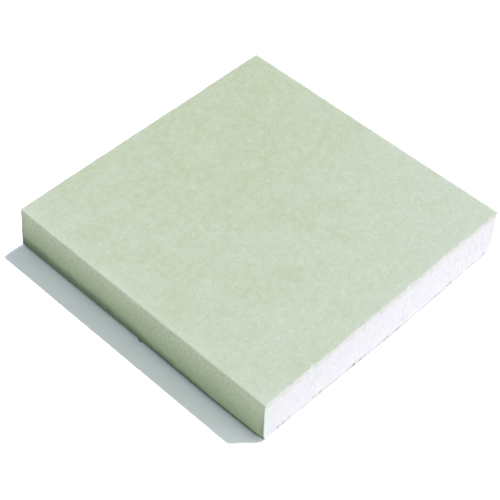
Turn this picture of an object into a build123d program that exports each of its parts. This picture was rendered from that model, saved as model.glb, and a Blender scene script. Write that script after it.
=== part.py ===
from build123d import *

import os

# Drywall sheet: a square offcut of moisture-resistant board with one paper-bound edge and three cut edges.
# A gypsum core lies between two papers. The face paper covers the top, turns down over the bound edge and
# is folded under the sheet as a flap. The back paper covers the underside and laps over that flap.
# Origin: middle of the sheet, on the underside of the back paper. +Z is towards the face,
# +Y runs along the bound edge, and the bound edge faces -X. All sizes are in millimetres.

# Whole sheet
SHEET_WIDTH = 77.0  # from the bound edge to the cut edge opposite
SHEET_LENGTH = 77.0  # along the bound edge, from cut to cut
SHEET_THICKNESS = 12.5  # over both papers

# Papers
FACE_PAPER_CALIPER = 0.3
BACK_PAPER_CALIPER = 0.3

# Bound edge, measured on the outside of the face paper
FACE_TURN_RADIUS = 0.6  # from the face down onto the edge
BACK_TURN_RADIUS = 0.7  # from the edge in under the sheet

# Underside, measured in from the bound edge
BARE_FLAP_WIDTH = 12.0  # folded face paper that stays in view
PAPER_LAP = 13.0  # folded face paper that the back paper covers

# Places across the sheet
bound_x = -SHEET_WIDTH / 2
cut_x = SHEET_WIDTH / 2
back_paper_x = bound_x + BARE_FLAP_WIDTH
flap_end_x = back_paper_x + PAPER_LAP

# Heights: the flap lies on the back paper, so the bare part of it stays one caliper off the ground
face_z = SHEET_THICKNESS
flap_z = BACK_PAPER_CALIPER

# The bed is where the face paper meets the core: its outside lines, moved in by one caliper
bed_face_z = face_z - FACE_PAPER_CALIPER
bed_edge_x = bound_x + FACE_PAPER_CALIPER
bed_flap_z = flap_z + FACE_PAPER_CALIPER
bed_turn_radii = (FACE_TURN_RADIUS - FACE_PAPER_CALIPER, BACK_TURN_RADIUS - FACE_PAPER_CALIPER)


# Gypsum core: formed to the folded face paper, with a step one caliper deep where the flap ends
with BuildPart() as gypsum_core:
    with BuildSketch(Plane.XZ) as core_section:
        with BuildLine():
            bed = FilletPolyline(
                (cut_x, bed_face_z),
                (bed_edge_x, bed_face_z),
                (bed_edge_x, bed_flap_z),
                (flap_end_x, bed_flap_z),
                radius=bed_turn_radii,
            )
            Polyline(bed @ 1, (flap_end_x, flap_z), (cut_x, flap_z), bed @ 0)
        make_face()
    extrude(amount=SHEET_LENGTH / 2, both=True)
gypsum_core.part.label = "gypsum_core"


# Face paper: one sheet of even caliper, folded over the bound edge and in under the core
with BuildPart() as face_paper:
    with BuildSketch(Plane.XZ) as face_paper_section:
        with BuildLine():
            FilletPolyline(
                (cut_x, face_z),
                (bound_x, face_z),
                (bound_x, flap_z),
                (flap_end_x, flap_z),
                radius=(FACE_TURN_RADIUS, BACK_TURN_RADIUS),
            )
            offset(amount=FACE_PAPER_CALIPER, side=Side.LEFT)
        make_face()
    extrude(amount=SHEET_LENGTH / 2, both=True)
face_paper.part.label = "face_paper"


# Back paper: a flat sheet that stops short of the bound edge and leaves the bare flap in view
with BuildPart() as back_paper:
    with BuildSketch(Plane.XZ) as back_paper_section:
        with Locations((cut_x, 0)):
            Rectangle(cut_x - back_paper_x, BACK_PAPER_CALIPER, align=(Align.MAX, Align.MIN))
    extrude(amount=SHEET_LENGTH / 2, both=True)
back_paper.part.label = "back_paper"


os.makedirs("parts", exist_ok=True)
for piece in (gypsum_core, face_paper, back_paper):
    export_step(piece.part, f"parts/{piece.part.label}.step")
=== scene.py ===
import math

import bpy
import numpy as np
from mathutils import Matrix, Vector


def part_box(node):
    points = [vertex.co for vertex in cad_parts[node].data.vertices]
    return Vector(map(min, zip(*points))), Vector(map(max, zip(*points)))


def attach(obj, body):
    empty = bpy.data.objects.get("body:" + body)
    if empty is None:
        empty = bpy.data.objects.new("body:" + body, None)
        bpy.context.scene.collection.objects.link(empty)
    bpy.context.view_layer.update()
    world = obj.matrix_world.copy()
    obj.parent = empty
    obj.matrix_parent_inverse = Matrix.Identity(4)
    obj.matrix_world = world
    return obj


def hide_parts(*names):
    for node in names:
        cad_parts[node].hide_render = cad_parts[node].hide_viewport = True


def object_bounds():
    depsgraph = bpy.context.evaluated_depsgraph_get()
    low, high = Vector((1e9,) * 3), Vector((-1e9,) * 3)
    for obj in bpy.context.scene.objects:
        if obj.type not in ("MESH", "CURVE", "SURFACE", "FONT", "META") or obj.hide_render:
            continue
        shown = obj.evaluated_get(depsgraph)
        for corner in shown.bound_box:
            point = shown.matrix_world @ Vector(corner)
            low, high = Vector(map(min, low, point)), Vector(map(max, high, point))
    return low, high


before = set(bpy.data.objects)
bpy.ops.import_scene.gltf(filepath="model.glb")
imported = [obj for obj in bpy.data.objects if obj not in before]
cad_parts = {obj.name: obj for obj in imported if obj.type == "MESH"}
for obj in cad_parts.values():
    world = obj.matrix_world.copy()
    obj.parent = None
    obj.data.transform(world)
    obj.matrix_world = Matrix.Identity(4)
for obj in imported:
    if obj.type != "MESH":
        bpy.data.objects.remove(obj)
cad_low, cad_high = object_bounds()

# Shapes are worked out in millimetres, and a mesh turns them into metres
MM = 0.001

# The sheet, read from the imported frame
BOUND_X = cad_low.x / MM
CUT_X = cad_high.x / MM
FRONT_Y = cad_low.y / MM
BACK_Y = cad_high.y / MM
FACE_Z = cad_high.z / MM
FACE_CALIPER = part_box("gypsum_core")[0].x / MM - BOUND_X
BACK_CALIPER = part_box("back_paper")[1].z / MM
LAP_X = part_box("back_paper")[0].x / MM
SHEET_WIDTH = CUT_X - BOUND_X
SHEET_LENGTH = BACK_Y - FRONT_Y

# The fold of the face paper, as the solids have it
FLAP_WIDTH = 25.0
FACE_TURN_RADIUS = 0.6
BACK_TURN_RADIUS = 0.7
FLAP_END_X = BOUND_X + FLAP_WIDTH

# How far the cut faces stand in from the sheet's box at the top, and how far they lean out at
# the foot
FRONT_INSET = 0.75
FRONT_LEAN_LEFT = 0.0
FRONT_LEAN_RIGHT = 0.27
FRONT_BULGE = 0.33
FRONT_BULGE_X = 6.5
FRONT_BULGE_REACH = 36.0
RIGHT_INSET_FRONT = 0.05
RIGHT_INSET_BACK = 0.22
BACK_INSET = 0.42
BACK_LEAN = 0.25

# Grid steps, and the number of steps round a turn of the paper
PAPER_STEP = 0.48
FLAP_STEP = 0.4
END_STEPS = (0.0, 0.12, 0.28)
TURN_STEPS = 10
CORE_STEP = 0.2
BACK_STEP = 0.25
BACK_ROW_STEP = 1.0

# Side of the square table of random heights, after which noise repeats
NOISE_TABLE = 256


def ease(share):
    """Smooth step from 0 to 1: three times the share squared, less twice its cube."""
    share = np.clip(share, 0.0, 1.0)
    return share * share * (3.0 - 2.0 * share)


def smooth_noise(a, b, cell, seed):
    """Random heights from -1 to 1: one for each corner of a square cell, eased from corner to
    corner."""
    table = np.random.default_rng(seed).uniform(-1.0, 1.0, (NOISE_TABLE, NOISE_TABLE))
    a, b = np.broadcast_arrays(np.asarray(a, float) / cell, np.asarray(b, float) / cell)
    a_low = np.floor(a).astype(int)
    b_low = np.floor(b).astype(int)
    a_share = ease(a - a_low)
    b_share = ease(b - b_low)
    a_here, a_next = a_low % NOISE_TABLE, (a_low + 1) % NOISE_TABLE
    b_here, b_next = b_low % NOISE_TABLE, (b_low + 1) % NOISE_TABLE
    near = table[a_here, b_here] * (1.0 - a_share) + table[a_next, b_here] * a_share
    far = table[a_here, b_next] * (1.0 - a_share) + table[a_next, b_next] * a_share
    return near * (1.0 - b_share) + far * b_share


def layered_noise(a, b, layers, seed):
    """Sum of smooth noises, one for each pair of cell size and height."""
    return sum(
        height * smooth_noise(a, b, cell, seed + number)
        for number, (cell, height) in enumerate(layers)
    )


# Cut faces: slow waves that the core and both papers share, and a seed for each cut
CUT_WAVES = ((11.0, 0.05), (5.0, 0.02))
FRONT_SEED, RIGHT_SEED, BACK_SEED = 11, 23, 37

# The knocked-off lower corner between the front cut and the right one
BITE_DEPTH = 1.3
BITE_HEIGHT = 2.8
BITE_LENGTH = 4.0

# The end of the bound edge at the back cut, worn in from the fold down
CORNER_WEAR = 0.6

# The bound edge's lower front corner, knocked in
KNOCK_DEPTH = 0.35
KNOCK_HEIGHT = 2.5
KNOCK_LENGTH = 3.0


def front_cut(x, z):
    """Y of the front cut: a plane whose foot leans out more towards the right, with a bulge between
    its ends, plus waves."""
    lean = FRONT_LEAN_LEFT + (FRONT_LEAN_RIGHT - FRONT_LEAN_LEFT) * (x - BOUND_X) / SHEET_WIDTH
    lean = lean + FRONT_BULGE * ease(1.0 - np.abs(x - FRONT_BULGE_X) / FRONT_BULGE_REACH)
    waves = layered_noise(x, z, CUT_WAVES, FRONT_SEED)
    return FRONT_Y + FRONT_INSET - lean * (1.0 - z / FACE_Z) + waves


def right_cut(y, z):
    """X of the cut opposite the bound edge: an upright plane plus waves, knocked in at its lower
    front corner."""
    bite = BITE_DEPTH * ease(1.0 - z / BITE_HEIGHT) * ease(1.0 - (y - FRONT_Y) / BITE_LENGTH)
    widening = (RIGHT_INSET_BACK - RIGHT_INSET_FRONT) * (y - FRONT_Y) / SHEET_LENGTH
    inset = RIGHT_INSET_FRONT + widening
    return CUT_X - inset + layered_noise(y, z, CUT_WAVES, RIGHT_SEED) - bite


def back_cut(x, z):
    """Y of the back cut: a plane that leans out towards its foot, plus waves, worn in at the bound
    edge's fold."""
    wear = CORNER_WEAR * ease(1.0 - (x - BOUND_X) / FACE_TURN_RADIUS) * z / FACE_Z
    waves = layered_noise(x, z, CUT_WAVES, BACK_SEED)
    return BACK_Y - BACK_INSET + BACK_LEAN * (1.0 - z / FACE_Z) + waves - wear


def bound_knock(y, z):
    """How far the bound edge is knocked in: most at its foot by the front cut, eased off upwards
    and backwards."""
    backwards = ease(1.0 - (y - FRONT_Y - FRONT_INSET) / KNOCK_LENGTH)
    return KNOCK_DEPTH * ease(1.0 - z / KNOCK_HEIGHT) * backwards


# Raggedness of the papers' cut ends, as distance behind the cut. The two far cuts run straighter
# than the front one
PAPER_RAGGED = ((5.5, 0.12), (2.3, 0.07), (0.9, 0.05), (0.46, 0.03))
PAPER_END_INSET = 0.12
BOUND_FRAY_SHARE = 0.2
FOOT_FRAY_SHARE = 0.3
FAR_RAGGED_SHARE = 0.5


def ragged(along, seed):
    """Distance of a paper's cut end behind the cut: a steady inset plus noise of four sizes, lower
    on the two far cuts."""
    share = 1.0 if seed == FRONT_SEED else FAR_RAGGED_SHARE
    return PAPER_END_INSET + share * layered_noise(along, 0.0, PAPER_RAGGED, seed)


# Dark spots along the foot of the front cut, each a chip with painted shade in it: from and to a
# distance in from the bound edge, and a share of the full darkness and depth
FOOT_SPOTS = (
    (4.5, 5.1, 0.75),
    (6.2, 6.7, 0.6),
    (7.9, 8.4, 0.45),
    (15.5, 16.0, 0.5),
    (17.6, 18.1, 0.5),
    (26.3, 27.1, 0.1),
    (28.15, 28.9, 0.85),
    (30.2, 31.2, 0.26),
    (32.0, 32.5, 0.15),
    (38.3, 38.8, 0.2),
    (39.6, 40.0, 0.38),
    (42.2, 43.0, 0.25),
    (43.7, 44.2, 0.15),
    (55.7, 56.2, 0.38),
    (57.2, 58.7, 0.14),
    (61.3, 61.9, 0.6),
)
SPOT_EASE = 0.4
SPOT_CHIP_LEVEL = 0.12
SPOT_CHIP_MARGIN = 0.12
SPOT_CHIP_HALF_HEIGHT = 0.42
SPOT_CHIP_DEPTH = 0.8
SPOT_SHADE_HEIGHT = 1.2
SPOT_PAPER_SHARE = 0.4


def foot_spots(along):
    """Darkness of the spots of the front cut's foot, eased at their ends, and 0 between them."""
    dark = 0.0 * along
    for start, end, share in FOOT_SPOTS:
        spot = ease((along - start) / SPOT_EASE + 0.5) * ease((end - along) / SPOT_EASE + 0.5)
        dark = np.maximum(dark, share * spot)
    return dark


def spot_chips():
    """A chip over each spot of the front cut's foot, as places of bowls measured up from the
    foot."""
    chips = []
    for start, end, share in FOOT_SPOTS:
        half_width = (end - start) / 2 + SPOT_CHIP_MARGIN
        depth = SPOT_CHIP_DEPTH * share
        chips.append(((start + end) / 2, SPOT_CHIP_LEVEL, half_width, SPOT_CHIP_HALF_HEIGHT, depth))
    return chips


# Relief of the bare gypsum, as depth below the cut
GRAIN = ((0.9, 0.03), (0.42, 0.022))
GRAIN_SINK = 0.04
SCORE_BAND = 0.9
SCORE_GRAIN_SHARE = 0.25
ARRIS_RADIUS = 0.16

# Air pits all over the cuts, and small chips along their foot, by lowest and highest value
PIT_COUNT = 150
PIT_RADII = (0.16, 0.55)
PIT_STRETCHES = (0.75, 1.3)
PIT_LEVELS = (1.0, FACE_Z - 1.0)
PIT_DEPTH_SHARE = 0.3
CHIP_COUNT = 44
CHIP_LEVELS = (0.1, 0.5)
CHIP_HALF_WIDTHS = (0.2, 0.7)
CHIP_HALF_HEIGHTS = (0.2, 0.45)
CHIP_DEPTHS = (0.05, 0.18)

# Scratches of the front cut: distance from the bound edge, height above the foot, half width,
# half height and depth
FRONT_SCRATCHES = (
    (44.5, 2.3, 0.22, 1.2, 0.2),
    (45.4, 2.4, 0.2, 0.8, 0.15),
)


def bowls(along, height, places):
    """Depth of oval bowls: the full depth times one less the squared shares of the half sizes. The
    deepest counts where they meet."""
    depth = np.zeros(np.broadcast(along, height).shape)
    for centre, level, half_width, half_height, full_depth in places:
        share = ((along - centre) / half_width) ** 2 + ((height - level) / half_height) ** 2
        depth = np.maximum(depth, full_depth * np.clip(1.0 - share, 0.0, None))
    return depth


def random_bowls(length, seed):
    """Places of the air pits over a cut face, small ones the commonest by a cubed share, and of the
    chips along its foot."""
    random = np.random.default_rng(seed)
    smallest, largest = PIT_RADII
    radius = smallest + (largest - smallest) * random.uniform(0.0, 1.0, PIT_COUNT) ** 3
    stretch = random.uniform(*PIT_STRETCHES, PIT_COUNT)
    pits = zip(
        random.uniform(0.0, length, PIT_COUNT),
        random.uniform(*PIT_LEVELS, PIT_COUNT),
        radius * stretch,
        radius / stretch,
        radius * PIT_DEPTH_SHARE,
    )
    chips = zip(
        random.uniform(0.0, length, CHIP_COUNT),
        random.uniform(*CHIP_LEVELS, CHIP_COUNT),
        random.uniform(*CHIP_HALF_WIDTHS, CHIP_COUNT),
        random.uniform(*CHIP_HALF_HEIGHTS, CHIP_COUNT),
        random.uniform(*CHIP_DEPTHS, CHIP_COUNT),
    )
    return [*pits, *chips]


def gypsum_depth(along, height, foot, length, fray, seed, chips=()):
    """Depth of bare gypsum below its cut: grain that gives way, in the knife's score band at the
    top, to the line of the frayed paper, then bowls, and arrises that are rounded off at the top,
    the foot and both ends."""
    top = FACE_Z - FACE_CALIPER
    score = ease((top - height) / SCORE_BAND)
    grain = layered_noise(along, height, GRAIN, seed)
    grain_share = SCORE_GRAIN_SHARE + (1.0 - SCORE_GRAIN_SHARE) * score
    depth = grain_share * (grain + GRAIN_SINK) + (1.0 - score) * fray
    depth = depth + bowls(along, height, random_bowls(length, seed))
    depth = depth + bowls(along, height - foot, chips)
    for distance in (top - height, height - foot, along, length - along):
        depth = depth + ARRIS_RADIUS * (1.0 - np.clip(distance / ARRIS_RADIUS, 0.0, 1.0)) ** 2
    return np.clip(depth, 0.0, None)


def turn_rows(low_z, high_z, low_radius, high_radius, step):
    """Heights up the bound side, and how far it stands in at each: equal angles round the lower
    turn, equal steps up the flat and equal angles round the upper turn."""
    angle = np.linspace(0.0, math.pi / 2, TURN_STEPS + 1)
    growing = 1.0 - np.cos(angle)
    shrinking = 1.0 - np.sin(angle)
    count = int((high_z - low_z) / step)
    flat = np.linspace(low_z + low_radius, high_z - high_radius, count)[1:-1]
    heights = [low_z + low_radius * growing, flat, high_z - high_radius * shrinking]
    insets = [low_radius * shrinking, 0.0 * flat, high_radius * growing]
    return np.concatenate(heights), np.concatenate(insets)


def core_shape():
    """Points, faces and finish values of the gypsum core: rows of its section's heights carried
    round the four sides, with the top and the stepped underside closed by flat faces."""
    bed_x = BOUND_X + FACE_CALIPER
    bed_top = FACE_Z - FACE_CALIPER
    bed_flap = BACK_CALIPER + FACE_CALIPER
    radii = (BACK_TURN_RADIUS - FACE_CALIPER, FACE_TURN_RADIUS - FACE_CALIPER)
    row_z, row_inset = turn_rows(bed_flap, bed_top, *radii, CORE_STEP)
    rise = ((row_z - bed_flap) / (bed_top - bed_flap))[:, None]
    count = int(SHEET_WIDTH / CORE_STEP)
    share = np.linspace(0.0, 1.0, count + 1)[None, :]
    foot = np.where(bed_x + share * (CUT_X - bed_x) < FLAP_END_X, bed_flap, BACK_CALIPER)

    # The front, back and right cuts, each over its length and height
    along = share * SHEET_WIDTH
    front_z = foot + rise * (bed_top - foot)
    front_y = front_cut(BOUND_X + along, front_z)
    front_fray = ragged(SHEET_WIDTH - along, FRONT_SEED)
    front_y = front_y + gypsum_depth(
        along, front_z, foot, SHEET_WIDTH, front_fray, FRONT_SEED, [*FRONT_SCRATCHES, *spot_chips()]
    )
    back_fray = ragged(SHEET_WIDTH - along, BACK_SEED)
    back_y = back_cut(BOUND_X + along, front_z)
    back_y = back_y - gypsum_depth(along, front_z, foot, SHEET_WIDTH, back_fray, BACK_SEED)
    along = share * SHEET_LENGTH
    right_z = BACK_CALIPER + rise * (bed_top - BACK_CALIPER) + 0.0 * share
    right_x = right_cut(FRONT_Y + along, right_z)
    right_fray = ragged(FRONT_Y + along, RIGHT_SEED)
    right_x = right_x - gypsum_depth(
        along, right_z, BACK_CALIPER, SHEET_LENGTH, right_fray, RIGHT_SEED
    )

    # The four sides meet at shared corners, and run round as one ring of points for each height
    left_x = bed_x + row_inset[:, None]
    left_z = row_z[:, None]
    knocked_x = left_x + bound_knock(front_y[:, :1], left_z)
    front_x = knocked_x + share * (right_x[:, :1] - knocked_x)
    back_x = left_x + share * (right_x[:, -1:] - left_x)
    right_y = front_y[:, -1:] + share * (back_y[:, -1:] - front_y[:, -1:])
    bound_share = np.linspace(0.0, 1.0, TURN_STEPS + 1)[None, :]
    bound_y = back_y[:, :1] + bound_share * (front_y[:, :1] - back_y[:, :1])
    bound_x = left_x + bound_knock(bound_y, left_z)
    sides = (
        np.stack([front_x, front_y, front_z], -1)[:, :-1],
        np.stack([right_x, right_y, right_z], -1)[:, :-1],
        np.stack([back_x, back_y, front_z], -1)[:, :0:-1],
        np.stack([bound_x, bound_y, left_z + 0.0 * bound_share], -1)[:, :-1],
    )
    ring = np.concatenate(sides, 1)
    rows, columns = ring.shape[:2]
    number = np.arange(rows * columns).reshape(rows, columns)
    beside = np.roll(number, -1, 1)
    walls = np.stack([number[:-1], beside[:-1], beside[1:], number[1:]], -1).reshape(-1, 4)

    # The underside is two flats, over the flap and past it, with a narrow slope between them
    step = int(np.sum(foot > BACK_CALIPER))
    last = 3 * count - step
    past = number[0, step:last + 1]
    over = np.concatenate([number[0, last + 1:], number[0, :step]])
    slope = number[0, [step, last, last + 1, step - 1]]
    caps = [number[-1].tolist(), past[::-1].tolist(), over[::-1].tolist(), slope.tolist()]

    # Painted shade of the spots lies on the front cut only
    spot_shade = foot_spots(front_x - BOUND_X) * ease(1.0 - (front_z - foot) / SPOT_SHADE_HEIGHT)
    elsewhere = np.zeros((rows, columns - count))
    finish_values = {"foot_spots": np.concatenate([spot_shade[:, :-1], elsewhere], 1).ravel()}
    return ring.reshape(-1, 3), [*walls.tolist(), *caps], finish_values


# Relief of the face paper: soft waves, the bow of the bound edge, and its ends curled in
PAPER_RELIEF = ((7.0, 0.016), (2.4, 0.012), (1.1, 0.012))
PAPER_SINK = 0.05
EDGE_WAVES = ((16.0, 0.01), (5.0, 0.01))
EDGE_SINK = 0.12
EDGE_BOW = 0.18
EDGE_BOW_Y = -19.0
EDGE_BOW_REACH = 24.0
CURL_REACH = 0.35
CURL_DEPTH = 0.05

# Marks on the bound edge: a painted highlight along the arris, a band of painted shade at its foot
# that runs out towards the front cut, a line of painted shade along the lower turn, soiled cut
# ends, and a burr at the foot that is drawn from its root towards its tip
ARRIS_HIGHLIGHT_REACH = 0.9
FOOT_SHADE_HEIGHT = 5.2
FOOT_SHADE_FADE = 3.3
FOOT_LINE_Z = 1.9
FOOT_LINE_FADE = 0.9
FOOT_LINE_SHARES = (0.6, 0.3)
SHADE_SPREAD = 2.5
FOOT_SHADE_NOISE = ((6.0, 0.35), (1.6, 0.3), (0.6, 0.35))
BOUND_END_REACH = 0.55
BURR_ROOT = (BOUND_X + 0.2, -0.8, 0.5)
BURR_TIP = (BOUND_X + 0.03, -1.0, 0.03)
BURR_REACH = 0.85
BURR_SHARE = 0.85


def between_ends(length, step):
    """Shares from 0 to 1 along a length: close steps at both ends, and even steps from one paper
    step in."""
    close = np.array(END_STEPS) / length
    count = int(length / step)
    even = np.linspace(PAPER_STEP / length, 1.0 - PAPER_STEP / length, count)
    return np.concatenate([close, even, 1.0 - close[::-1]])


def wrap_path():
    """Outside line of the folded face paper from the cut edge to the flap's end: flat, turn, flat,
    turn, flat. Gives x, z, the outward direction, the length run so far, and a share that is 1 at
    the cut edge and 0 from the first turn on."""
    face_centre = (BOUND_X + FACE_TURN_RADIUS, FACE_Z - FACE_TURN_RADIUS)
    back_centre = (BOUND_X + BACK_TURN_RADIUS, BACK_CALIPER + BACK_TURN_RADIUS)
    top_width = CUT_X - face_centre[0]
    top_x = CUT_X - top_width * between_ends(top_width, PAPER_STEP)[:-1]
    edge_z = np.linspace(face_centre[1], back_centre[1], int(FACE_Z / PAPER_STEP))[1:-1]
    flap_x = np.linspace(back_centre[0], FLAP_END_X, int(FLAP_WIDTH / FLAP_STEP))[1:]
    turns = np.linspace(math.pi / 2, math.pi, TURN_STEPS + 1)
    under = turns + math.pi / 2
    x = np.concatenate([
        top_x,
        face_centre[0] + FACE_TURN_RADIUS * np.cos(turns),
        np.full_like(edge_z, BOUND_X),
        back_centre[0] + BACK_TURN_RADIUS * np.cos(under),
        flap_x,
    ])
    z = np.concatenate([
        np.full_like(top_x, FACE_Z),
        face_centre[1] + FACE_TURN_RADIUS * np.sin(turns),
        edge_z,
        back_centre[1] + BACK_TURN_RADIUS * np.sin(under),
        np.full_like(flap_x, BACK_CALIPER),
    ])
    facing = np.concatenate([
        np.full_like(top_x, math.pi / 2),
        turns,
        np.full_like(edge_z, math.pi),
        under,
        np.full_like(flap_x, 3 * math.pi / 2),
    ])
    run = np.concatenate([[0.0], np.cumsum(np.hypot(np.diff(x), np.diff(z)))])
    top_share = np.clip((x - face_centre[0]) / top_width, 0.0, 1.0)
    return x, z, facing, run, top_share


def closed_sheet(outside, inside):
    """Points and faces of a sheet with thickness: its outside grid, its inside grid turned over,
    and a rim of squares round the border that joins the two."""
    columns, rows = outside.shape[:2]
    size = columns * rows
    number = np.arange(size).reshape(columns, rows)
    corners = [number[:-1, :-1], number[:-1, 1:], number[1:, 1:], number[1:, :-1]]
    quads = np.stack(corners, -1).reshape(-1, 4)
    border = np.concatenate([number[0, :-1], number[:-1, -1], number[-1, :0:-1], number[:0:-1, 0]])
    following = np.roll(border, -1)
    rim = np.stack([following, border, border + size, following + size], -1)
    points = np.concatenate([outside.reshape(-1, 3), inside.reshape(-1, 3)])
    return points, np.concatenate([quads, quads[:, ::-1] + size, rim]).tolist()


def on_both_sides(grid):
    """A value given on a sheet's outside grid, for its outside points and again for its inside
    ones."""
    flat = grid.reshape(-1, *grid.shape[2:])
    return np.concatenate([flat, flat])


def face_paper_shape():
    """Points, faces and finish values of the face paper: the wrap's line carried along the bound
    edge between two ragged ends, moved in and out along its own direction by a soft relief, and
    again one caliper in. Points near the burr's root are drawn towards its tip."""
    x, z, facing, run, top_share = wrap_path()
    upright = np.clip(-np.cos(facing), 0.0, 1.0)
    flat_share = np.where(z < FACE_Z / 2, FOOT_FRAY_SHARE, 1.0)
    fray_share = flat_share * (1.0 - upright) + BOUND_FRAY_SHARE * upright
    front_end = front_cut(x, z) + fray_share * ragged(run, FRONT_SEED)
    back_end = back_cut(x, z) - fray_share * ragged(run, BACK_SEED)
    rows = between_ends(SHEET_LENGTH, PAPER_STEP)
    y = front_end[:, None] + rows[None, :] * (back_end - front_end)[:, None]
    right_end = right_cut(y[0], FACE_Z) - ragged(y[0], RIGHT_SEED)
    x = x[:, None] + top_share[:, None] * (right_end - CUT_X)[None, :]
    z = z[:, None] + 0.0 * y
    out_x = np.cos(facing)[:, None]
    out_z = np.sin(facing)[:, None]
    run = run[:, None] + 0.0 * y

    # Relief, as distance along the outward direction
    upright = upright[:, None] + 0.0 * y
    relief = layered_noise(run, y, PAPER_RELIEF, FRONT_SEED) - PAPER_SINK
    bow = EDGE_BOW * ease(1.0 - np.abs(y - EDGE_BOW_Y) / EDGE_BOW_REACH) * (1.0 - z / FACE_Z)
    waves = layered_noise(y, run, EDGE_WAVES, BACK_SEED) - sum(height for _, height in EDGE_WAVES)
    relief = relief + upright * (bow - EDGE_SINK + waves - bound_knock(y, z))
    end_distance = np.minimum(y - y[:, :1], y[:, -1:] - y)
    right_distance = np.where(top_share[:, None] > 0.0, x[:1] - x, SHEET_WIDTH)
    end_distance = np.minimum(end_distance, right_distance)
    fringe = np.exp(-end_distance / CURL_REACH)
    relief = relief - CURL_DEPTH * fringe

    # The two grids of the sheet, and its burr
    outer_grid = np.stack([x + relief * out_x, y, z + relief * out_z], -1)
    inner = relief - FACE_CALIPER + PAPER_SINK
    inner_grid = np.stack([x + inner * out_x, y, z + inner * out_z], -1)
    burr = ease(1.0 - np.linalg.norm(outer_grid - BURR_ROOT, axis=-1) / BURR_REACH)
    pull = BURR_SHARE * burr[..., None]
    outer_grid = outer_grid + pull * (BURR_TIP - outer_grid)
    inner_grid = inner_grid + pull * (BURR_TIP - inner_grid)
    points, faces = closed_sheet(outer_grid, inner_grid)

    # Values for the finish
    along_share = (y - FRONT_Y) / SHEET_LENGTH
    # Painted shade: a band that darkens the bound side towards its foot, tallest at the back end
    # and running out towards the front cut
    band = FOOT_SHADE_HEIGHT * (1.0 - (1.0 - along_share) ** 3)
    band = band + layered_noise(y, z, FOOT_SHADE_NOISE, RIGHT_SEED)
    outside = ease(SHADE_SPREAD * upright)
    # Painted shade: a dark line along the lower turn, where the bound side meets the floor
    lower_turn = ease((FOOT_LINE_Z - z) / FOOT_LINE_FADE) * outside
    foot_shade = np.maximum(ease((band - z) / FOOT_SHADE_FADE) * outside, lower_turn)
    front_dust = np.exp(-(y - y[:, :1]) / CURL_REACH) * (z < BACK_TURN_RADIUS)
    # Painted highlight: lighter paper along the arris of the bound edge, fading away from the fold
    rim = np.exp(-(FACE_Z - z + x - BOUND_X) / ARRIS_HIGHLIGHT_REACH)
    no_line, full_line = FOOT_LINE_SHARES
    foot_line = lower_turn * ease((no_line - along_share) / (no_line - full_line))
    finish_values = {
        "paper_place": on_both_sides(np.stack([run, y, 0.0 * y], -1)),
        "ply": np.concatenate([front_dust.ravel(), np.ones(run.size)]),
        "foot_shade": on_both_sides(foot_shade),
        "foot_spots": on_both_sides(SPOT_PAPER_SHARE * foot_spots(x - BOUND_X) * front_dust),
        "foot_line": on_both_sides(np.maximum(foot_line, burr)),
        "fringe": on_both_sides(fringe),
        "bound_end": on_both_sides(np.exp(-end_distance / BOUND_END_REACH) * upright),
        "upright": on_both_sides(upright),
        "rim": on_both_sides(rim),
    }
    return points, faces, finish_values


def back_paper_shape():
    """Points, faces and finish values of the back paper: a flat sheet on the ground from its
    straight slit edge to three ragged cut ends."""
    slit_share = np.linspace(0.0, 1.0, int((CUT_X - LAP_X) / BACK_STEP) + 1)
    rows = between_ends(SHEET_LENGTH, BACK_ROW_STEP)
    plain_x = LAP_X + slit_share * (CUT_X - LAP_X)
    front_end = front_cut(plain_x, 0.0) + FOOT_FRAY_SHARE * ragged(plain_x, FRONT_SEED)
    back_end = back_cut(plain_x, 0.0) - FOOT_FRAY_SHARE * ragged(plain_x, BACK_SEED)
    y = front_end[:, None] + rows[None, :] * (back_end - front_end)[:, None]
    right_end = right_cut(y[-1], 0.0) - FOOT_FRAY_SHARE * ragged(y[-1], RIGHT_SEED)
    x = LAP_X + slit_share[:, None] * (right_end - LAP_X)[None, :]
    under = np.stack([x, y, 0.0 * y], -1)
    over = np.stack([x, y, 0.0 * y + BACK_CALIPER], -1)
    points, faces = closed_sheet(under, over)
    front_dust = np.exp(-(y - y[:, :1]) / CURL_REACH)
    end_distance = np.minimum(np.minimum(y - y[:, :1], y[:, -1:] - y), x[-1:] - x)
    finish_values = {
        "paper_place": on_both_sides(under),
        "dust": on_both_sides(np.exp(-end_distance / CURL_REACH)),
        "foot_spots": on_both_sides(SPOT_PAPER_SHARE * foot_spots(x - BOUND_X) * front_dust),
    }
    return points, faces, finish_values


def tone(red, green, blue):
    """A colour given as it looks on a screen, 0 to 255, turned into linear light."""
    share = np.array([red, green, blue]) / 255.0
    linear = np.where(share <= 0.04045, share / 12.92, ((share + 0.055) / 1.055) ** 2.4)
    return (*linear.tolist(), 1.0)


# Gloss of the finishes, the same all over a piece
SPECULAR_LEVEL = 0.25
FACE_PAPER_ROUGHNESS = 0.8
BACK_PAPER_ROUGHNESS = 0.85
GYPSUM_ROUGHNESS = 0.9

# Paper fibres: their four directions in radians, how far they bend, and over what length
FIBRE_TURNS = (0.35, 1.15, 1.95, 2.75)
FIBRE_BEND = 1.6
FIBRE_BEND_SIZE = 2.5


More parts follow.
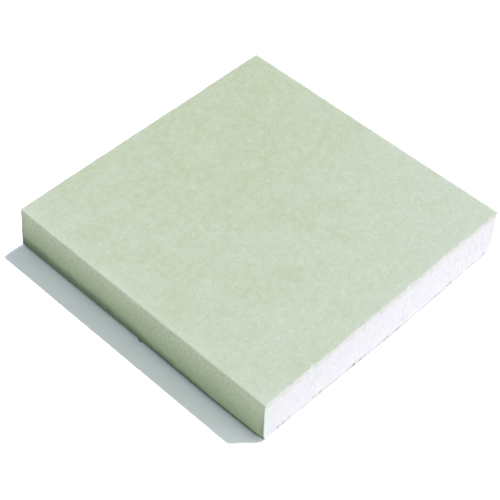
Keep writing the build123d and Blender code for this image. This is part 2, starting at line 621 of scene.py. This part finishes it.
class Finish:
    """A material under construction: its methods add nodes, and most give an output for the next
    one to read."""

    def __init__(self, name, roughness):
        self.material = bpy.data.materials.new(name)
        self.material.use_nodes = True
        self.nodes = self.material.node_tree.nodes
        self.links = self.material.node_tree.links
        self.shader = self.nodes["Principled BSDF"]
        self.shader.inputs["Roughness"].default_value = roughness
        self.shader.inputs["Specular IOR Level"].default_value = SPECULAR_LEVEL

    def feed(self, socket, value):
        """Links a socket to another node's output, or sets it to a plain value."""
        if isinstance(value, bpy.types.NodeSocket):
            self.links.new(value, socket)
        else:
            socket.default_value = value

    def attribute(self, name, output="Fac"):
        """One of the piece's finish values."""
        node = self.nodes.new("ShaderNodeAttribute")
        node.attribute_name = name
        return node.outputs[output]

    def object_place(self):
        """Object coordinates in millimetres."""
        source = self.nodes.new("ShaderNodeTexCoord")
        return self.scaled(source.outputs["Object"], (1.0 / MM,) * 3)

    def scaled(self, place, scale):
        """A place with each coordinate times a scale."""
        node = self.nodes.new("ShaderNodeMapping")
        node.inputs["Scale"].default_value = scale
        self.links.new(place, node.inputs["Vector"])
        return node.outputs["Vector"]

    def turned(self, place, turn, sizes):
        """A place measured along axes turned by an angle, in units of a size for each axis."""
        node = self.nodes.new("ShaderNodeMapping")
        node.vector_type = "TEXTURE"
        node.inputs["Rotation"].default_value = (0.0, 0.0, turn)
        node.inputs["Scale"].default_value = sizes
        self.links.new(place, node.inputs["Vector"])
        return node.outputs["Vector"]

    def moved(self, place, offset):
        """A place shifted by an offset."""
        node = self.nodes.new("ShaderNodeVectorMath")
        node.operation = "ADD"
        self.feed(node.inputs[0], place)
        self.feed(node.inputs[1], offset)
        return node.outputs["Vector"]

    def along(self, place, axis):
        """One coordinate of a place."""
        node = self.nodes.new("ShaderNodeSeparateXYZ")
        self.links.new(place, node.inputs["Vector"])
        return node.outputs[axis]

    def cloud(self, place, size, detail=2.0, roughness=0.5, output="Fac"):
        """Soft noise whose blotches are about size millimetres across."""
        node = self.nodes.new("ShaderNodeTexNoise")
        node.inputs["Scale"].default_value = 1.0 / size
        node.inputs["Detail"].default_value = detail
        node.inputs["Roughness"].default_value = roughness
        self.links.new(place, node.inputs["Vector"])
        return node.outputs[output]

    def ramp(self, value, low, high, out_low=0.0, out_high=1.0):
        """The value from low to high, eased, as out_low to out_high."""
        node = self.nodes.new("ShaderNodeMapRange")
        node.interpolation_type = "SMOOTHSTEP"
        self.links.new(value, node.inputs["Value"])
        limits = {"From Min": low, "From Max": high, "To Min": out_low, "To Max": out_high}
        for name in limits:
            node.inputs[name].default_value = limits[name]
        return node.outputs["Result"]

    def combine(self, operation, first, second):
        """Two values joined by an operation."""
        node = self.nodes.new("ShaderNodeMath")
        node.operation = operation
        self.feed(node.inputs[0], first)
        self.feed(node.inputs[1], second)
        return node.outputs["Value"]

    def plus(self, first, second):
        """Two values added."""
        return self.combine("ADD", first, second)

    def times(self, first, second):
        """Two values multiplied."""
        return self.combine("MULTIPLY", first, second)

    def mix(self, share, first, second):
        """The first colour with a share of the second laid over it."""
        node = self.nodes.new("ShaderNodeMix")
        node.data_type = "RGBA"
        self.feed(node.inputs["Factor"], share)
        self.feed(node.inputs["A"], first)
        self.feed(node.inputs["B"], second)
        return node.outputs["Result"]

    def flecks(self, place, spacing, rim, chances):
        """Round flecks on scattered points about spacing millimetres apart, which fade between the
        two distances of their rim. Points whose random value is low have none."""
        node = self.nodes.new("ShaderNodeTexVoronoi")
        node.inputs["Scale"].default_value = 1.0 / spacing
        self.links.new(place, node.inputs["Vector"])
        fleck = self.ramp(node.outputs["Distance"], *rim, out_low=1.0, out_high=0.0)
        return self.times(fleck, self.ramp(node.outputs["Color"], *chances))

    def fibres(self, place, size, crest):
        """Strands of a length and a width in four directions, bent by a slow drift. Each is noise
        drawn out along its direction with only the crest kept, and the brightest counts."""
        drift = self.cloud(place, FIBRE_BEND_SIZE, detail=1.0, output="Color")
        bent = self.moved(place, self.scaled(drift, (FIBRE_BEND,) * 3))
        brightest = None
        for turn in FIBRE_TURNS:
            drawn_out = self.turned(bent, turn, (*size, 1.0))
            strand = self.ramp(self.cloud(drawn_out, 1.0, detail=1.0), *crest)
            brightest = strand if brightest is None else self.combine("MAXIMUM", brightest, strand)
        return brightest

    def bump(self, layers):
        """Raises the surface by each pair of height value and reach in millimetres, one on top of
        the other."""
        normal = None
        for height, reach in layers:
            node = self.nodes.new("ShaderNodeBump")
            node.inputs["Distance"].default_value = reach * MM
            self.links.new(height, node.inputs["Height"])
            if normal is not None:
                self.links.new(normal, node.inputs["Normal"])
            normal = node.outputs["Normal"]
        self.links.new(normal, self.shader.inputs["Normal"])

    def colour(self, value):
        """Gives the shader its colour, and gives back the material."""
        self.links.new(value, self.shader.inputs["Base Color"])
        return self.material


# Painted shade in the chips of the front cut's foot, on the gypsum and on both papers
FOOT_SPOT_SHADE = tone(70, 70, 72)

# Tones of the face paper
WARM_GREEN = tone(188, 202, 169)
COOL_GREEN = tone(202, 213, 198)
LIGHT_STOCK = tone(214, 225, 206)
DARK_STOCK = tone(172, 188, 157)
STROKE = tone(228, 236, 223)
STRAND = tone(222, 231, 214)
LIGHT_FLECK = tone(232, 238, 226)
# Painted light: lighter, yellower greens for the bound side, standing in for how the lamps fall on
# it
SIDE_LIT_WARM = tone(214, 220, 181)
SIDE_LIT_COOL = tone(207, 221, 194)
SCUFF = tone(165, 181, 147)
# Painted highlight for the arris of the bound edge
ARRIS_HIGHLIGHT = tone(222, 232, 212)
# Painted shade for the bound side, darker downwards
SIDE_SHADE = tone(170, 188, 152)
FRAYED_END = tone(224, 223, 221)
BARE_PLY = tone(240, 238, 241)
# Painted shade for the foot of the bound edge
FOOT_SHADE = tone(107, 129, 104)
# Painted shade of the lower turn, also the burr's own dark colour
FOOT_LINE = tone(90, 104, 94)
SOILED_END = tone(122, 134, 118)

# Slow drift of the face paper's green: its fall from front to back, its rise towards the ends of
# the two diagonals, and the weight and size of two clouds
DRIFT_FALL = 0.6
DRIFT_RISES = (("X", 0.07), ("Y", 0.35))
DRIFT_WEIGHT = 0.9
DRIFT_SIZE = 15.0
PATCH_WEIGHT = 1.6
PATCH_SIZE = 5.0
PATCH_SHIFT = (13.0, 5.0, 0.0)

# Pattern of the face paper: sizes of blotches, length and width of fibres, shares and bump heights
STOCK_SIZE = 1.7
STOCK_BUMP = 0.07
GRAIN_SIZE = 0.5
GRAIN_BUMP = 0.045
STROKE_SIZE = (1.3, 0.3)
STROKE_BUMP = 0.02
STRAND_SIZE = (1.6, 0.1)
STRAND_SHARE = 0.28
STRAND_BUMP = 0.01
LIGHT_FLECK_SPACING = 1.5
LIGHT_FLECK_SHARE = 0.45
SIDE_LIT_SIZE = 3.0
SIDE_LIT_SHIFT = (0.0, 31.0, 0.0)
SIDE_LIT_SHARE = 0.6
SCUFF_SIZE = 0.6
SCUFF_STRETCH = (0.5, 1.3, 1.0)
ARRIS_HIGHLIGHT_SHARE = 0.5
FOOT_SHADE_SHARE = 0.9

# Painted shade down the bound edge, and soiling at its ends, set in between two lengths of paper,
# measured from the far cut
SIDE_SHADE_REACH = (SHEET_WIDTH + 2.0, SHEET_WIDTH + 14.0)
SIDE_SHADE_WANDER = 5.0
SOILED_END_REACH = (SHEET_WIDTH + 1.0, SHEET_WIDTH + 9.0)


def green_paper():
    """Pale green face paper: slow drift from a warm to a cool green, cloudy stock, coarse and fine
    fibres, light flecks, pale plies at its cut ends, and on the bound edge scuffs, soiled ends, a
    burr
    and painted light: lighter greens, a highlight on the arris and shade growing towards the foot."""
    finish = Finish("green_face_paper", FACE_PAPER_ROUGHNESS)
    place = finish.attribute("paper_place", "Vector")
    slow = finish.times(finish.along(place, "Y"), -DRIFT_FALL / SHEET_LENGTH)
    centred = finish.moved(place, (-SHEET_WIDTH / 2, 0.0, 0.0))
    diagonal = finish.turned(centred, -math.pi / 4, (SHEET_WIDTH / 2,) * 3)
    for axis, rise in DRIFT_RISES:
        across = finish.along(diagonal, axis)
        slow = finish.plus(slow, finish.times(finish.times(across, across), rise))
    slow = finish.plus(slow, finish.times(finish.cloud(place, DRIFT_SIZE), DRIFT_WEIGHT))
    patch = finish.cloud(finish.moved(place, PATCH_SHIFT), PATCH_SIZE, detail=4.0, roughness=0.65)
    slow = finish.plus(slow, finish.times(patch, PATCH_WEIGHT))
    colour = finish.mix(finish.ramp(slow, 0.7, 2.08), WARM_GREEN, COOL_GREEN)

    cloudy = finish.cloud(place, STOCK_SIZE, detail=4.0, roughness=0.65)
    colour = finish.mix(finish.ramp(cloudy, 0.3, 0.75, out_high=0.5), colour, LIGHT_STOCK)
    grain = finish.cloud(place, GRAIN_SIZE, detail=3.0, roughness=0.6)
    dark_grain = finish.ramp(grain, 0.25, 0.55, out_low=0.39, out_high=0.0)
    colour = finish.mix(dark_grain, colour, DARK_STOCK)
    strokes = finish.fibres(place, STROKE_SIZE, (0.62, 0.8))
    gathered = finish.ramp(slow, 1.05, 1.75, out_low=0.25, out_high=0.65)
    colour = finish.mix(finish.times(strokes, gathered), colour, STROKE)
    strands = finish.fibres(place, STRAND_SIZE, (0.56, 0.76))
    colour = finish.mix(finish.times(strands, STRAND_SHARE), colour, STRAND)
    flecks = finish.flecks(place, LIGHT_FLECK_SPACING, rim=(0.05, 0.16), chances=(0.8, 0.9))
    colour = finish.mix(finish.times(flecks, LIGHT_FLECK_SHARE), colour, LIGHT_FLECK)

    upright = finish.attribute("upright")
    # Painted light: the bound side takes its own lighter, yellower greens
    hue = finish.cloud(finish.moved(place, SIDE_LIT_SHIFT), SIDE_LIT_SIZE, detail=3.0, roughness=0.6)
    side_lit_tone = finish.mix(finish.ramp(hue, 0.35, 0.65), SIDE_LIT_WARM, SIDE_LIT_COOL)
    colour = finish.mix(finish.times(upright, SIDE_LIT_SHARE), colour, side_lit_tone)
    rubbed = finish.cloud(
        finish.scaled(place, SCUFF_STRETCH), SCUFF_SIZE, detail=3.0, roughness=0.65
    )
    scuffs = finish.ramp(rubbed, 0.32, 0.62, out_low=0.62, out_high=0.0)
    colour = finish.mix(finish.times(upright, scuffs), colour, SCUFF)
    # Painted highlight along the arris of the bound edge
    colour = finish.mix(finish.times(finish.attribute("rim"), ARRIS_HIGHLIGHT_SHARE), colour, ARRIS_HIGHLIGHT)
    # Painted shade: the bound side darkens from below the arris down to its foot
    down = finish.along(place, "X")
    wandering = finish.plus(down, finish.times(patch, SIDE_SHADE_WANDER))
    side_shade = finish.times(upright, finish.ramp(wandering, *SIDE_SHADE_REACH))
    colour = finish.mix(side_shade, colour, SIDE_SHADE)

    fringe = finish.ramp(finish.attribute("fringe"), 0.0, 0.9, out_high=0.8)
    flat_fringe = finish.times(fringe, finish.combine("SUBTRACT", 1.0, upright))
    tufts = finish.ramp(cloudy, 0.4, 0.6, out_low=0.2, out_high=1.2)
    colour = finish.mix(finish.times(flat_fringe, tufts), colour, FRAYED_END)
    ply = finish.ramp(finish.attribute("ply"), 0.05, 0.4, out_high=0.9)
    colour = finish.mix(ply, colour, BARE_PLY)
    # Painted shade towards the foot of the bound edge
    colour = finish.mix(finish.times(finish.attribute("foot_shade"), FOOT_SHADE_SHARE), colour, FOOT_SHADE)
    # Painted shade along the lower turn, and the burr's own dark colour
    colour = finish.mix(finish.attribute("foot_line"), colour, FOOT_LINE)
    # Painted shade in the chips of the front cut's foot
    colour = finish.mix(finish.attribute("foot_spots"), colour, FOOT_SPOT_SHADE)
    low_down = finish.ramp(down, *SOILED_END_REACH, out_low=0.12, out_high=0.75)
    soiled_end = finish.times(finish.attribute("bound_end"), low_down)
    colour = finish.mix(soiled_end, colour, SOILED_END)
    finish.bump((
        (cloudy, STOCK_BUMP),
        (grain, GRAIN_BUMP),
        (strokes, STROKE_BUMP),
        (strands, STRAND_BUMP),
    ))
    return finish.colour(colour)


# Tones and pattern of the back paper
DARK_BROWN = tone(186, 180, 168)
PALE_BROWN = tone(203, 198, 187)
PALE_FIBRE = tone(222, 217, 206)
DARK_FLECK = tone(142, 132, 118)
GYPSUM_DUST = tone(212, 210, 214)
BACK_CLOUD_SIZE = 4.0
BACK_CLOUD_BUMP = 0.05
BACK_FIBRE_SIZE = (1.6, 0.12)
BACK_FIBRE_SHARE = 0.45
BACK_FIBRE_BUMP = 0.012
DARK_FLECK_SPACING = 0.9
DARK_FLECK_SHARE = 0.6


def grey_paper():
    """Plain back paper of recycled stock: grey-brown, cloudy, with light fibres and dark flecks,
    gypsum dust at its cut ends and painted shade at the spots of the foot."""
    finish = Finish("plain_back_paper", BACK_PAPER_ROUGHNESS)
    place = finish.attribute("paper_place", "Vector")
    cloudy = finish.cloud(place, BACK_CLOUD_SIZE, detail=5.0, roughness=0.6)
    colour = finish.mix(finish.ramp(cloudy, 0.3, 0.7), DARK_BROWN, PALE_BROWN)
    strands = finish.fibres(place, BACK_FIBRE_SIZE, (0.56, 0.76))
    colour = finish.mix(finish.times(strands, BACK_FIBRE_SHARE), colour, PALE_FIBRE)
    flecks = finish.flecks(place, DARK_FLECK_SPACING, rim=(0.05, 0.2), chances=(0.75, 0.85))
    colour = finish.mix(finish.times(flecks, DARK_FLECK_SHARE), colour, DARK_FLECK)
    colour = finish.mix(finish.attribute("dust"), colour, GYPSUM_DUST)
    # Painted shade in the chips of the front cut's foot
    colour = finish.mix(finish.attribute("foot_spots"), colour, FOOT_SPOT_SHADE)
    finish.bump(((cloudy, BACK_CLOUD_BUMP), (strands, BACK_FIBRE_BUMP)))
    return finish.colour(colour)


# Tones and pattern of the gypsum
COOL_WHITE = tone(237, 234, 244)
WARM_WHITE = tone(242, 239, 242)
BLUE_WHITE = tone(235, 241, 243)
DENSE_WHITE = tone(233, 243, 239)
GREY_GRAIN = tone(224, 224, 232)
PIN_HOLE = tone(208, 208, 216)
LINT = tone(218, 220, 213)
BLOTCH_SIZE = 2.6
BLUE_SIZE = 3.5
BLUE_SHIFT = (17.0, 0.0, 0.0)
GYPSUM_GRAIN_SIZE = 0.3
GYPSUM_BUMP = 0.04
PIN_HOLE_SPACING = 0.7
PIN_HOLE_SHARE = 0.25

# The denser strip along the bound edge gives out between two places, and narrows by its lean
# towards the top
DENSE_REACH = (BOUND_X + 2.3, BOUND_X + 3.1)
DENSE_LEAN = 0.7

# How far down the cuts the lint of the cut face paper reaches, how unevenly, and its tufts' size
LINT_DEPTH = 1.6
LINT_SPREAD = 5.0
TUFT_SIZE = 1.3


def white_gypsum():
    """Cast gypsum, white with a faint cool cast: soft blotches, denser along the bound edge, fine
    grain, pin holes, lint at the top of the cuts and painted shade over the spots of the foot."""
    finish = Finish("white_gypsum", GYPSUM_ROUGHNESS)
    place = finish.object_place()
    height = finish.along(place, "Z")
    blotch = finish.cloud(place, BLOTCH_SIZE, detail=4.0, roughness=0.6)
    colour = finish.mix(finish.ramp(blotch, 0.3, 0.7), COOL_WHITE, WARM_WHITE)
    blue = finish.cloud(finish.moved(place, BLUE_SHIFT), BLUE_SIZE, detail=3.0, roughness=0.6)
    colour = finish.mix(finish.ramp(blue, 0.4, 0.65, out_high=0.3), colour, BLUE_WHITE)
    strip = finish.plus(finish.along(place, "X"), finish.times(height, DENSE_LEAN / FACE_Z))
    dense = finish.ramp(strip, *DENSE_REACH, out_low=0.8, out_high=0.0)
    colour = finish.mix(dense, colour, DENSE_WHITE)
    grain = finish.cloud(place, GYPSUM_GRAIN_SIZE, detail=3.0, roughness=0.6)
    grey_grain = finish.ramp(grain, 0.2, 0.5, out_low=0.35, out_high=0.0)
    colour = finish.mix(grey_grain, colour, GREY_GRAIN)
    holes = finish.flecks(place, PIN_HOLE_SPACING, rim=(0.1, 0.22), chances=(0.7, 0.8))
    colour = finish.mix(finish.times(holes, PIN_HOLE_SHARE), colour, PIN_HOLE)
    tufts = finish.times(finish.cloud(place, TUFT_SIZE, detail=3.0, roughness=0.6), LINT_SPREAD)
    lint_top = FACE_Z - FACE_CALIPER + LINT_SPREAD / 2
    level = finish.plus(height, tufts)
    lint = finish.ramp(level, lint_top - LINT_DEPTH, lint_top, out_high=0.75)
    colour = finish.mix(lint, colour, LINT)
    # Painted shade in the chips of the front cut's foot
    colour = finish.mix(finish.attribute("foot_spots"), colour, FOOT_SPOT_SHADE)
    finish.bump(((finish.combine("SUBTRACT", grain, holes), GYPSUM_BUMP),))
    return finish.colour(colour)


# Edges that turn by more than this angle, in degrees, stay sharp
SHARP_ANGLE = 50.0


def add_piece(name, node, slot, material, points, faces, finish_values):
    """Makes a piece from points in millimetres, in the place of a node of the frame. Its finish
    values are kept for each point, as numbers or places that its material reads."""
    mesh = bpy.data.meshes.new(name)
    mesh.from_pydata((points * MM).tolist(), [], faces)
    mesh.shade_smooth()
    mesh.set_sharp_from_angle(angle=math.radians(SHARP_ANGLE))
    for label in finish_values:
        values = finish_values[label]
        kind, field = ("FLOAT", "value") if values.ndim == 1 else ("FLOAT_VECTOR", "vector")
        mesh.attributes.new(label, kind, "POINT").data.foreach_set(field, values.ravel())
    mesh.materials.append(material)
    piece = bpy.data.objects.new(name, mesh)
    bpy.context.scene.collection.objects.link(piece)
    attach(piece, "root")
    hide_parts(node)


add_piece("core_slab", "gypsum_core", "gypsum", white_gypsum(), *core_shape())
add_piece("face_wrap", "face_paper", "green_face_paper", green_paper(), *face_paper_shape())
add_piece("back_liner", "back_paper", "plain_back_paper", grey_paper(), *back_paper_shape())

# Studio: floor, world, lamps and camera, in metres and degrees
FLOOR_HALF = 2.0
FLOOR_COLOUR = (0.93, 0.93, 0.93, 1.0)
FLOOR_SEEN_COLOUR = (1.61, 1.57, 1.665, 1.0)
WHITE = (1.0, 1.0, 1.0, 1.0)
AMBIENT = (0.26, 0.302, 0.314, 1.0)
KEY_DIRECTIONS = ((0.44, -0.4, 1.0), (0.45, -0.06, 1.0))
KEY_STRENGTH = 1.18
KEY_ANGLE = 1.6
KEY_COLOUR = (1.02, 0.965, 0.945)
FRONT_FILL_DIRECTION = (0.5, -1.0, 0.22)
FRONT_FILL_POWER = 6.2
LEFT_FILL_DIRECTION = (-1.0, 0.15, 0.25)
LEFT_FILL_POWER = 2.35
FILL_SIZE = (0.9, 0.5)
LAMP_DISTANCE = 1.5

CAMERA_AZIMUTH = -48.24
CAMERA_ELEVATION = 48.22
CAMERA_ROLL = -2.97
CAMERA_TARGET = (-0.005954, -0.002709, 0.00625)
CAMERA_DISTANCE = 0.32483
CAMERA_LENS = 103.93
CAMERA_NEAR = 0.01


def seen_or_not(nodes, links, seen_colour, other_colour):
    """Output with one colour for rays from the camera, gloss or glass, and another for the rest."""
    path = nodes.new("ShaderNodeLightPath")
    seen = path.outputs["Is Camera Ray"]
    for kind in ("Is Glossy Ray", "Is Transmission Ray"):
        either = nodes.new("ShaderNodeMath")
        either.operation = "MAXIMUM"
        links.new(seen, either.inputs[0])
        links.new(path.outputs[kind], either.inputs[1])
        seen = either.outputs["Value"]
    colour = nodes.new("ShaderNodeMix")
    colour.data_type = "RGBA"
    links.new(seen, colour.inputs["Factor"])
    colour.inputs["A"].default_value = other_colour
    colour.inputs["B"].default_value = seen_colour
    return colour.outputs["Result"]


def make_floor():
    """A pale floor, brighter where it is seen directly than the light it gives back, so that it
    shows white outside the shadow."""
    corners = [(x, y, 0.0) for x, y in ((-1, -1), (1, -1), (1, 1), (-1, 1))]
    mesh = bpy.data.meshes.new("floor")
    mesh.from_pydata((np.array(corners) * FLOOR_HALF).tolist(), [], [(0, 1, 2, 3)])
    material = bpy.data.materials.new("pale_floor")
    material.use_nodes = True
    nodes = material.node_tree.nodes
    links = material.node_tree.links
    shader = nodes["Principled BSDF"]
    shader.inputs["Roughness"].default_value = 1.0
    shader.inputs["Specular IOR Level"].default_value = 0.0
    colour = seen_or_not(nodes, links, FLOOR_SEEN_COLOUR, FLOOR_COLOUR)
    links.new(colour, shader.inputs["Base Color"])
    mesh.materials.append(material)
    floor = bpy.data.objects.new("floor", mesh)
    bpy.context.scene.collection.objects.link(floor)


def make_world():
    """White where it is seen directly, and an even pale light for everything else."""
    world = bpy.data.worlds.new("studio")
    world.use_nodes = True
    nodes = world.node_tree.nodes
    links = world.node_tree.links
    links.new(seen_or_not(nodes, links, WHITE, AMBIENT), nodes["Background"].inputs["Color"])
    bpy.context.scene.world = world


def place_lamp(data, direction):
    """Puts a lamp out in a direction from the sheet's middle, looking back at it."""
    lamp = bpy.data.objects.new(data.name, data)
    towards = Vector(direction).normalized()
    lamp.location = towards * LAMP_DISTANCE
    lamp.rotation_euler = towards.to_track_quat("Z", "Y").to_euler()
    lamp.visible_camera = False
    bpy.context.scene.collection.objects.link(lamp)


def make_keys():
    """Two small bright keys high on the right. Both miss the strip of floor along the bound edge,
    and that strip is the shadow."""
    for direction in KEY_DIRECTIONS:
        data = bpy.data.lights.new("key", "SUN")
        data.energy = KEY_STRENGTH
        data.angle = math.radians(KEY_ANGLE)
        data.color = KEY_COLOUR
        place_lamp(data, direction)


def make_fill(direction, power):
    """A soft low lamp that lightens one side."""
    data = bpy.data.lights.new("fill", "AREA")
    data.shape = "RECTANGLE"
    data.size, data.size_y = FILL_SIZE
    data.energy = power
    place_lamp(data, direction)


def make_camera():
    """A long lens at the photograph's azimuth, elevation and roll."""
    data = bpy.data.cameras.new("camera")
    data.lens = CAMERA_LENS
    data.clip_start = CAMERA_NEAR
    camera = bpy.data.objects.new("camera", data)
    azimuth = math.radians(CAMERA_AZIMUTH)
    elevation = math.radians(CAMERA_ELEVATION)
    back = Vector((
        math.sin(azimuth) * math.cos(elevation),
        -math.cos(azimuth) * math.cos(elevation),
        math.sin(elevation),
    ))
    right = Vector((math.cos(azimuth), math.sin(azimuth), 0.0))
    turn = Matrix((right, back.cross(right), back)).transposed()
    turn = turn @ Matrix.Rotation(math.radians(-CAMERA_ROLL), 3, "Z")
    eye = Vector(CAMERA_TARGET) + back * CAMERA_DISTANCE
    camera.matrix_world = Matrix.Translation(eye) @ turn.to_4x4()
    bpy.context.scene.collection.objects.link(camera)
    bpy.context.scene.camera = camera


make_floor()
make_world()
make_keys()
make_fill(FRONT_FILL_DIRECTION, FRONT_FILL_POWER)
make_fill(LEFT_FILL_DIRECTION, LEFT_FILL_POWER)
make_camera()
bpy.context.scene.view_settings.view_transform = "Standard"
